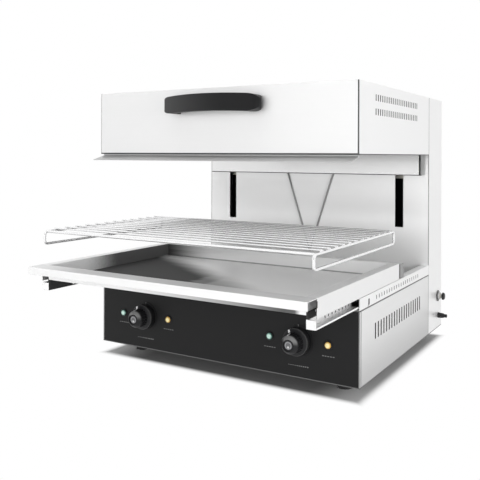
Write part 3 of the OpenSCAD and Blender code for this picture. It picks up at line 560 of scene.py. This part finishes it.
def repeat_tree():
    """A node tree that puts one pattern at every point, turned and stretched as the point says."""
    tree = bpy.data.node_groups.new("repeat_at_points", "GeometryNodeTree")
    for name, kind in (("Points", "Geometry"), ("Pattern", "Object"), ("Size", "Float"),
                       ("Finish", "Material")):
        tree.interface.new_socket(name, in_out="INPUT", socket_type="NodeSocket" + kind)
    tree.interface.new_socket("Pieces", in_out="OUTPUT", socket_type="NodeSocketGeometry")
    given = tree.nodes.new("NodeGroupInput")
    result = tree.nodes.new("NodeGroupOutput")
    pattern = tree.nodes.new("GeometryNodeObjectInfo")
    placed = tree.nodes.new("GeometryNodeInstanceOnPoints")
    scaled = tree.nodes.new("ShaderNodeVectorMath")
    scaled.operation = "SCALE"
    solid = tree.nodes.new("GeometryNodeRealizeInstances")
    finished = tree.nodes.new("GeometryNodeSetMaterial")
    said = {}
    for name in ("turn", "stretch"):
        attribute = tree.nodes.new("GeometryNodeInputNamedAttribute")
        attribute.data_type = "FLOAT_VECTOR"
        attribute.inputs["Name"].default_value = name
        said[name] = next(socket for socket in attribute.outputs
                          if socket.enabled and socket.name == "Attribute")
    for start, end in ((given.outputs["Points"], placed.inputs["Points"]),
                       (given.outputs["Pattern"], pattern.inputs["Object"]),
                       (pattern.outputs["Geometry"], placed.inputs["Instance"]),
                       (said["turn"], placed.inputs["Rotation"]),
                       (said["stretch"], scaled.inputs[0]),
                       (given.outputs["Size"], scaled.inputs["Scale"]),
                       (scaled.outputs[0], placed.inputs["Scale"]),
                       (placed.outputs["Instances"], solid.inputs["Geometry"]),
                       (solid.outputs["Geometry"], finished.inputs["Geometry"]),
                       (given.outputs["Finish"], finished.inputs["Material"]),
                       (finished.outputs["Geometry"], result.inputs["Pieces"])):
        tree.links.new(start, end)
    return tree


repeats = repeat_tree()


def plain(thing, name, finish):
    """The evaluated shape of an object as a new plain mesh object; the old one goes."""
    graph = bpy.context.evaluated_depsgraph_get()
    mesh = bpy.data.meshes.new_from_object(thing.evaluated_get(graph))
    mesh.name = name
    if not mesh.materials:
        mesh.materials.append(finish.material)
    made = bpy.data.objects.new(name, mesh)
    bpy.context.collection.objects.link(made)
    bpy.data.objects.remove(thing)
    return made


def repeated(name, pattern, points, finish, body, size=1.0):
    """One piece made of a pattern at every (place, turn, stretch) of points."""
    mesh = bpy.data.meshes.new(name + "_points")
    mesh.from_pydata([point[0] for point in points], [], [])
    for index, label in ((1, "turn"), (2, "stretch")):
        layer = mesh.attributes.new(label, "FLOAT_VECTOR", "POINT")
        layer.data.foreach_set("vector", [number for point in points for number in point[index]])
    carrier = bpy.data.objects.new(name + "_points", mesh)
    bpy.context.collection.objects.link(carrier)
    modifier = carrier.modifiers.new("repeat", "NODES")
    modifier.node_group = repeats
    sockets = {item.name: item.identifier for item in repeats.interface.items_tree}
    modifier[sockets["Pattern"]] = pattern
    modifier[sockets["Size"]] = size
    modifier[sockets["Finish"]] = finish.material
    piece = plain(carrier, name, finish)
    bpy.data.objects.remove(pattern)
    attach(piece, body)
    return piece


def shape_object(name, shape):
    mesh = bpy.data.meshes.new(name)
    shape.to_mesh(mesh)
    shape.free()
    thing = bpy.data.objects.new(name, mesh)
    bpy.context.collection.objects.link(thing)
    return thing


def turned(profile, steps=24):
    """A closed solid turned round the Y axis from (radius, y) points that start and end on it."""
    shape = bmesh.new()
    verts = [shape.verts.new((radius, y, 0)) for radius, y in profile]
    edges = [shape.edges.new(pair) for pair in zip(verts, verts[1:])]
    bmesh.ops.spin(shape, geom=verts + edges, cent=(0, 0, 0), axis=(0, 1, 0),
                   angle=math.tau, steps=steps)
    bmesh.ops.remove_doubles(shape, verts=shape.verts, dist=1e-6)
    bmesh.ops.recalc_face_normals(shape, faces=shape.faces)
    for face in shape.faces:
        face.smooth = True
    return shape


def cross_screw():
    """A pan head with a cross recess, on a short shank."""
    head = shape_object("screw_pattern", turned([
        (0, -screw_shank_l), (screw_shank_r - 0.0001, -screw_shank_l),
        (screw_shank_r, 0.0003 - screw_shank_l), (screw_shank_r, 0), (screw_head_r, 0),
        (screw_head_r, 0.0007), (screw_head_r - 0.0003, 0.0014), (screw_head_r - 0.0010, 0.0020),
        (screw_head_r - 0.0020, 0.0023), (0, screw_head_h)]))
    blades = bmesh.new()
    for size in ((recess_l, recess_h, recess_w), (recess_w, recess_h, recess_l)):
        place = Matrix.Translation((0, screw_head_h + 0.0003, 0))
        bmesh.ops.create_cube(blades, size=1, matrix=place @ Matrix.Diagonal((*size, 1)))
    cutter = shape_object("recess_cutter", blades)
    cut = head.modifiers.new("recess", "BOOLEAN")
    cut.object = cutter
    cut.solver = "EXACT"
    cut.use_self = True
    made = plain(head, "screw_pattern", plated)
    made.data.set_sharp_from_angle(angle=math.radians(35))
    bpy.data.objects.remove(cutter)
    return made


screw_low, screw_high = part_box("rear_screws")
columns = (screw_low[0] + screw_head_r, (screw_low[0] + screw_high[0]) / 2,
           screw_high[0] - screw_head_r)
rows = (screw_low[2] + screw_head_r, screw_high[2] - screw_head_r)
screw_places = [(x, screw_high[1] - screw_head_h, z) for x in columns for z in rows]
screw_points = [(place, (0, 0.35 + 1.1 * number, 0), (1, 1, 1))
                for number, place in enumerate(screw_places)]
cover_screws = repeated("cross_recess_screws", cross_screw(), screw_points, plated,
                        body_of["rear_screws"])
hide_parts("rear_screws")

# ---- Drip pan ------------------------------------------------------------------------------
# A welded stainless pan with a folded front flange and side skirts. Its floor, walls, flange,
# skirt gaps and underside are painted with reflection and shade, its front wall also with a
# highlight.
pan_low, pan_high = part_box("drip_pan")
pan_middle = (pan_low[0] + pan_high[0]) / 2
rim_z = pan_high[2]
bowl_front, bowl_rear = pan_low[1] + 0.035, pan_high[1] - 0.008
bowl_floor = rim_z - 0.0275
bowl_half, skirt_half = 0.2827, 0.2993
apron_h = 0.0155
reflection_slant, reflection_edge = 0.67, (0.060, 0.155)
reflection_strips = (0.205, 0.225), (0.245, 0.262)
left_wall_reflection_span, rear_wall_shade_span = (-0.160, -0.040), (-0.04, 0.10)
flange_reflection_from, flange_reflection_to = (-0.06, 0.10), (0.33, 0.43)
front_wall_shade_start, front_wall_shade_length = 0.15, 1 / 2.7
front_wall_shade_levels = ((0.0, 0.87), (0.24, 0.72), (0.58, 0.44), (0.77, 0.25), (0.90, 0.11),
               (0.96, 0.12), (0.985, 0.90))


def pan_finish():
    """Brushed pan steel with painted reflection, shade and a highlight."""
    steel = brushed("pan_stainless", grey(0.86), 0.34)
    x, y, z = (steel.axis(letter) for letter in "XYZ")
    from_middle = x - pan_middle
    inside = (steel.within(from_middle, -bowl_half + 0.0008, bowl_half - 0.0008)
              * steel.within(y, bowl_front + 0.0008, bowl_rear - 0.0008))
    upward = steel.facing("+Z")
    streaks = (steel.noise((3, 160, 160), detail=3) - 0.5) * 0.05

    # The floor is painted lighter than the pan's steel, then dark in a slanting patch with two
    # lighter strips in it: painted reflection.
    floor = inside * upward * steel.fall(z, bowl_floor + 0.002, bowl_floor + 0.004)
    steel.cover(floor, grey(0.97))
    dark_reflection = steel.fall(y + x * reflection_slant + streaks * 0.5, *reflection_edge)
    first_strip, second_strip = reflection_strips
    lighter_strips = (steel.rise(x + streaks, *first_strip) + steel.rise(x, *second_strip)) * 0.16
    steel.cover(floor * dark_reflection * (1 - lighter_strips), grey(0.04), dull=True)

    # The left wall's rear part is painted dark: painted reflection.
    left_wall = inside * steel.facing("+X")
    steel.metal = (1 - left_wall * 0.8) * steel.metal
    steel.cover(left_wall * steel.rise(y + streaks * 0.4, *left_wall_reflection_span), grey(0.09),
                dull=True)
    # The rear wall's left part and its foot are painted dark: painted shade.
    rear_wall = inside * steel.facing("-Y")
    steel.cover(rear_wall * steel.fall(x + streaks, *rear_wall_shade_span), grey(0.07))
    rear_corner = (inside * steel.within(y, bowl_rear - 0.0045, bowl_rear - 0.0015)
                   * steel.fall(z, bowl_floor + 0.001, bowl_floor + 0.003))
    steel.cover(rear_corner, grey(0.10))

    # The front flange is painted darker, most along its middle stretch: painted reflection.
    front_flange = upward * steel.fall(y, bowl_front - 0.001, bowl_front + 0.001)
    painted_dark_stretch = steel.fall(x, *flange_reflection_to) * steel.rise(x, *flange_reflection_from)
    steel.cover(front_flange * (painted_dark_stretch * 0.38 + 0.12), grey(0.10))

    # The outside of the bowl's front wall is painted in light and shade along its length, with a
    # painted highlight at its right end, and has a near-black line under the apron: painted shade.
    bowl_outside = (steel.within(y, bowl_front - 0.002, bowl_front + 0.0012)
                    * steel.fall(z, rim_z - 0.006, rim_z - 0.004))
    front_wall_shade_stops = [(place, grey(level)) for place, level in front_wall_shade_levels]
    steel.cover(bowl_outside, steel.node("ValToRGB", {"stops": front_wall_shade_stops},
                                         {"Fac": (x - front_wall_shade_start) * (1 / front_wall_shade_length)}))
    behind_apron = steel.rise(z, rim_z - apron_h - 0.001, rim_z - apron_h + 0.001)
    steel.cover(bowl_outside * behind_apron, grey(0.035), dull=True)

    # The gaps between the bowl and its skirts are painted near black, and the underside dark grey:
    # painted shade.
    hollow = (steel.within(abs(from_middle), bowl_half - 0.0009, skirt_half)
              * steel.fall(z, rim_z - 0.0012, rim_z - 0.0008)
              * steel.rise(y, pan_low[1] + 0.001, pan_low[1] + 0.002)
              * (steel.rise(x, 0.2, 0.3) * 0.85 + 0.15))
    steel.cover(hollow, gap, dull=True)
    steel.cover(steel.facing("-Z"), grey(0.16))
    return steel


eased("drip_pan", "fat_pan", pan_finish(), 0.0006)

# ---- Slide rails ---------------------------------------------------------------------------
# C-shaped rails with a row of punched slots are riveted to the pan's sides. A plate closes their
# front end. The length that runs in the base and the hidden faces are painted black as shade.
rail_h, rail_plate, rail_lip = 0.015, 0.004, 0.003
left_low, left_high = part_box("slide_rail_left")
right_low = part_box("slide_rail_right")[0]
rail_top = right_low[2] + rail_h
base_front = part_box("control_panel")[0][1]


def rail_finish():
    """Satin steel, painted white on the right rail's web as painted light and black on the hidden
    faces and the length in the base as painted shade.
    """
    steel = brushed("rail_stainless", grey(0.88), satin)
    x, y, z = (steel.axis(letter) for letter in "XYZ")
    steel.cover(steel.facing("+X") * steel.rise(x, 0.4, 0.5), grey(1.0))
    painted_dark_stretch = steel.rise(y, base_front - 0.010, base_front + 0.008)
    left_inner_face = steel.facing("+X") * steel.fall(x, 0.0, 0.1)
    web_above = steel.rise(z, rail_top - 0.0004, rail_top + 0.0004)
    flange_top = steel.facing("+Z") * steel.rise(z, rail_top - 0.0032, rail_top - 0.0027)
    steel.cover(steel.either(painted_dark_stretch, left_inner_face, web_above, flange_top), gap, dull=True)
    left_plate = (steel.within(x, left_low[0] + 0.0015, left_high[0] - 0.0005)
                  * steel.within(z, left_low[2] + 0.0018, left_low[2] + rail_h - 0.0018)
                  * steel.fall(y, left_low[1] + 0.001, left_low[1] + 0.002))
    steel.cover(left_plate, grey(0.90), dull=True)
    punched(steel, "slide_rail_right")
    return steel


def narrow_upper_flange(shape):
    """Behind its end plate, the right rail's upper flange is only a narrow stiffening lip."""
    plate_y = right_low[1] + rail_plate
    lip_x = right_low[0] + rail_lip
    bmesh.ops.bisect_plane(shape, geom=shape.verts[:] + shape.edges[:] + shape.faces[:],
                           dist=1e-6, plane_co=(0, plate_y, 0), plane_no=(0, 1, 0))
    for vert in shape.verts:
        on_flange = rail_top - 0.0016 < vert.co.z < rail_top + 0.0001 and vert.co.x > lip_x
        if on_flange and vert.co.y > plate_y - 0.0001:
            vert.co.x = lip_x


rail_steel = rail_finish()
eased("slide_rail_left", "left_slide_rail", rail_steel, 0.0004)
eased("slide_rail_right", "right_slide_rail", rail_steel, 0.0003, reshape=narrow_upper_flange)

# ---- Wire rack -----------------------------------------------------------------------------
# Chromed wires lie across two closed side loops and are resistance-welded to them, which leaves
# a small bead at every crossing.
frame_wire_r, cross_wire_r = 0.00275, 0.0016
cross_wires = 12
bead_r = 0.0024

chrome = Finish("chrome_wire", None, 0.14, 0.8)
haze = chrome.noise((25, 25, 25), detail=3)
chrome.paint(chrome.blend(haze, (0.84, 0.84, 0.85), grey(0.95)))
# The wires' undersides are painted darker: painted shade.
underside = chrome.fall(chrome.axis("Z", "Normal"), -0.85, -0.25)
chrome.cover(underside * 0.6, grey(0.20))
chrome.set(chrome.shader, "Roughness", haze * 0.12 + 0.08)
dress(chrome, "wire_rack")


def weld_bead():
    shape = bmesh.new()
    bmesh.ops.create_uvsphere(shape, u_segments=12, v_segments=8, radius=1)
    for face in shape.faces:
        face.smooth = True
    return shape_object("bead_pattern", shape)


rack_low, rack_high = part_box("wire_rack")
rack_pitch = (rack_high[1] - rack_low[1] - 2 * frame_wire_r) / (cross_wires + 1)
bead_points = [((x, rack_low[1] + frame_wire_r + number * rack_pitch,
                 rack_high[2] - 2 * cross_wire_r), (0, 0, 0), (1.25, 1.0, 0.55))
               for x in (rack_low[0] + frame_wire_r, rack_high[0] - frame_wire_r)
               for number in range(1, cross_wires + 1)]
repeated("rack_weld_beads", weld_bead(), bead_points, chrome, "rack",
         size=bead_r)

# ---- Base casing ---------------------------------------------------------------------------
# Floor, sides and deck are folded stainless sheet. The rail channels stand on the deck, each with
# a row of slots and a small hook, and two welded lugs keep the pan from tipping.
side_low, side_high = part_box("side_panel_right")
# The side steel is painted darker than the head's, darker still towards the bottom and on its
# front edge's front face: painted shade.
side_steel = brushed("side_stainless", grey(0.80), satin)
lower_part = side_steel.fall(side_steel.axis("Z"), side_low[2] - 0.02, side_high[2] - 0.02)
side_steel.cover(lower_part * 0.50, grey(0.20))
front_edge = side_steel.fall(side_steel.axis("Y"), side_low[1] + 0.0008, side_low[1] + 0.0018)
faces_front = side_steel.fall(side_steel.axis("Y", "Normal"), -0.9, -0.3)
side_steel.cover(front_edge * faces_front, grey(0.20))
side_steel.line("Y", side_low[1] + 0.0045, side_low[1] + 0.0075, grey(0.16))
side_steel.seam("Y", side_high[1], -0.0015, grey(0.12))
for side in ("right", "left"):
    punched(side_steel, "side_panel_" + side)
for side in ("left", "right"):
    eased("side_panel_" + side, side + "_side", side_steel, 0.0006)

channel_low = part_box("rail_channel_right")[0]
hook_y, hook_z = channel_low[1] + 0.045, channel_low[2] + 0.010
channel_steel = brushed("channel_stainless", stainless, satin)
channel_steel.seam("Z", channel_low[2], 0.0012, grey(0.10))
# The hook slot and a band round it are painted black: painted shade.
hook = (channel_steel.within(channel_steel.axis("Y"), hook_y - 0.0034, hook_y + 0.0030, 0.0002)
        * channel_steel.within(channel_steel.axis("Z"), hook_z - 0.0062, hook_z + 0.0045, 0.0002))
channel_steel.cover(hook, gap)
for side in ("right", "left"):
    punched(channel_steel, "rail_channel_" + side)
for side in ("left", "right"):
    eased("rail_channel_" + side, side + "_channel", channel_steel, 0.0004)

# The deck, hidden under the pan, is painted nearly black: painted shade.
deck_steel = brushed("shaded_deck_stainless", grey(0.10), 0.45)
dress(deck_steel, "deck_plate")
lug_steel = brushed("lug_steel", grey(0.30), 0.4, depth=0.5)
dress(lug_steel, "pan_guides")
bottom_steel = brushed("bottom_stainless", grey(0.16), 0.45)
dress(bottom_steel, "floor_plate")

# ---- Control panel -------------------------------------------------------------------------
# A steel sheet with turned edges, painted black with a fine texture. Each knob has a round dial
# plate of the same paint behind it.
panel_paint = moulded("panel_paint", (0.008, 0.008, 0.0083), 0.5, grain=500, depth=0.3)
eased("control_panel", "black_panel", panel_paint, 0.0006)
dress(panel_paint, "dial_plates")

# ---- Knobs ---------------------------------------------------------------------------------
# Skirted and fluted thermostat knobs of black thermoplastic, pushed onto the shafts. A satin grey
# cap closes each, and white marks are moulded into the grip and the skirt.
face_y = base_front
knob_height = 0.095
knob_places = {"left": 0.064, "right": 0.424}
mark_half = 0.0019
skirt_mark = (120, 0.0198, 0.0265, 0.0130, 0.0190)
grip_mark = (103, 0.0145, 0.0192, 0.0250, 0.0410)
shoulder_highlight_ring = (0.0105, 0.0170)
skirt_rim_r, skirt_rim_reach = (0.0242, 0.0250), (0.012, 0.017)
cap_ring, dot_drop = (0.0050, 0.0066), 0.0030


def knob_finish(side):
    """Black thermoplastic with two moulded-in white marks and painted highlights on the grip's
    upper shoulder and the skirt's rim.
    """
    plastic = moulded("knob_plastic_" + side, (0.012, 0.012, 0.013), 0.3)
    x = plastic.axis("X") - knob_places[side]
    z = plastic.axis("Z") - knob_height
    out = face_y - plastic.axis("Y")
    radius = plastic.distance(x, z)
    for degrees, inner, outer, near, far in (skirt_mark, grip_mark):
        right, up = math.cos(math.radians(degrees)), math.sin(math.radians(degrees))
        along, across = x * right + z * up, z * right - x * up
        mark = (plastic.within(along, inner, outer)
                * plastic.within(across, -mark_half, mark_half)
                * plastic.within(out, near, far))
        plastic.cover(mark, grey(0.80))
    # Painted highlights: the upper part of the grip's shoulder and the skirt's rim are painted
    # lighter.
    shoulder_highlight = (plastic.within(radius, *shoulder_highlight_ring, 0.0008) * plastic.rise(out, 0.031, 0.033)
                * plastic.rise(z + x * 0.15, 0.002, 0.012))
    plastic.cover(shoulder_highlight, grey(0.20))
    skirt_rim = plastic.rise(radius, *skirt_rim_r) * plastic.within(out, *skirt_rim_reach)
    plastic.cover(skirt_rim, grey(0.05))
    return plastic


def cap_finish(side):
    """A satin grey disc with a lighter ring and a small pale dot."""
    plastic = moulded("cap_plastic_" + side, (0.11, 0.11, 0.115), 0.35)
    x = plastic.axis("X") - knob_places[side]
    z = plastic.axis("Z") - knob_height
    radius = plastic.distance(x, z)
    plastic.cover(plastic.within(radius, *cap_ring), (0.30, 0.30, 0.31))
    from_dot = plastic.distance(x, z + dot_drop)
    plastic.cover(plastic.fall(from_dot, 0.0014, 0.0024), grey(0.60))
    return plastic


for side in knob_places:
    eased("knob_" + side, "fluted_knob_" + side, knob_finish(side), 0.0004)
    dress(cap_finish(side), "knob_cap_" + side)

# ---- Pilot lamps ---------------------------------------------------------------------------
# A green and an amber lens of clear plastic stand beside each knob, snapped into the panel with a
# black bezel. The middle of each is painted pale, a painted glow of the lit neon tube behind it.
lamp_gap = 0.060
heart_r, rim_r = 0.0022, 0.0068
bezel_plastic = moulded("bezel_plastic", grey(0.010), 0.3)
dress(bezel_plastic, "lamp_bezels")


def lens(name, places, heart, rim):
    """Clear coloured plastic with a pale heart, a painted glow of the lit neon tube behind it."""
    clear = Finish(name, None, 0.15)
    centre, half = (places[0] + places[1]) / 2, abs(places[1] - places[0]) / 2
    x = abs(clear.axis("X") - centre) - half
    z = clear.axis("Z") - knob_height
    facets = (clear.noise((500, 500, 500), detail=1) - 0.5) * 0.0014
    from_heart = clear.distance(x, z) + facets
    clear.paint(clear.blend(clear.rise(from_heart, heart_r, rim_r), heart, rim))
    clear.bump(clear.noise((600, 600, 600), detail=1), 0.3, 0.0003)
    return clear


dress(lens("green_lens", [x - lamp_gap for x in knob_places.values()],
           (0.62, 0.85, 0.76), (0.008, 0.12, 0.09)), "lamps_green")
dress(lens("amber_lens", [x + lamp_gap for x in knob_places.values()],
           (0.92, 0.80, 0.42), (0.45, 0.22, 0.005)), "lamps_amber")

# ---- Panel print ---------------------------------------------------------------------------
# Greyish white screen print on the panel: an index line over each knob, a row of short dashes
# under it that grow with the heat, and a row of flat dashes under each lamp.
unturned, dash_depth = (0, 0, 0), 0.2
index_z, scale_z, lamp_row_z = knob_height + 0.0280, 0.048, 0.0745
scale_pitch, scale_dashes = 0.0043, 10
lamp_row_pitch, lamp_row_dashes = 0.0052, 5
dial_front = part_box("dial_plates")[0][1]
dash_points = []
for centre in knob_places.values():
    dash_points.append(((centre, dial_front, index_z), unturned, (1.0, dash_depth, 3.4)))
    for step in range(scale_dashes):
        x = centre + (step - (scale_dashes - 1) / 2) * scale_pitch
        dash_points.append(((x, face_y, scale_z), unturned, (2.4, dash_depth, 0.8 + 0.16 * step)))
    for lamp in (centre - lamp_gap, centre + lamp_gap):
        for step in range(lamp_row_dashes):
            x = lamp + (step - (lamp_row_dashes - 1) / 2) * lamp_row_pitch
            dash_points.append(((x, face_y, lamp_row_z), unturned, (3.4, dash_depth, 1.3)))
dash = bmesh.new()
bmesh.ops.create_cube(dash, size=1)
print_white = moulded("panel_print", grey(0.16), 0.5, grain=300)
repeated("panel_print", shape_object("dash_pattern", dash), dash_points, print_white, "base",
         size=0.001)

# ---- Side fittings -------------------------------------------------------------------------
# On the column's right side, a plated ring nut holds the limit switch with its black reset
# button, and a black plastic gland below it clamps the cable's entry.
gland_plastic = moulded("fitting_plastic", (0.018, 0.018, 0.019), 0.45)
dress(gland_plastic, "cable_gland")

stem_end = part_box("reset_button")[1][0] - 0.0058
button_plastic = moulded("button_plastic", grey(0.012), 0.35)
stem = button_plastic.fall(button_plastic.axis("X"), stem_end - 0.0002, stem_end + 0.0002)
button_plastic.cover(stem, grey(0.45))
dress(button_plastic, "reset_button")

seal_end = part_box("switch_ring")[0][0] + 0.0026
ring_steel = brushed("switch_ring_steel", grey(0.55), 0.35, depth=0.4)
seal = ring_steel.fall(ring_steel.axis("X"), seal_end - 0.0002, seal_end + 0.0002)
ring_steel.cover(seal, grey(0.10))
dress(ring_steel, "switch_ring")

# ---- Feet ----------------------------------------------------------------------------------
# Four turned feet of black rubber carry the grill. Each is held to the floor plate by a stud
# with a nut.
foot_rubber = moulded("foot_rubber", grey(0.018), 0.8)
dress(foot_rubber, "feet")
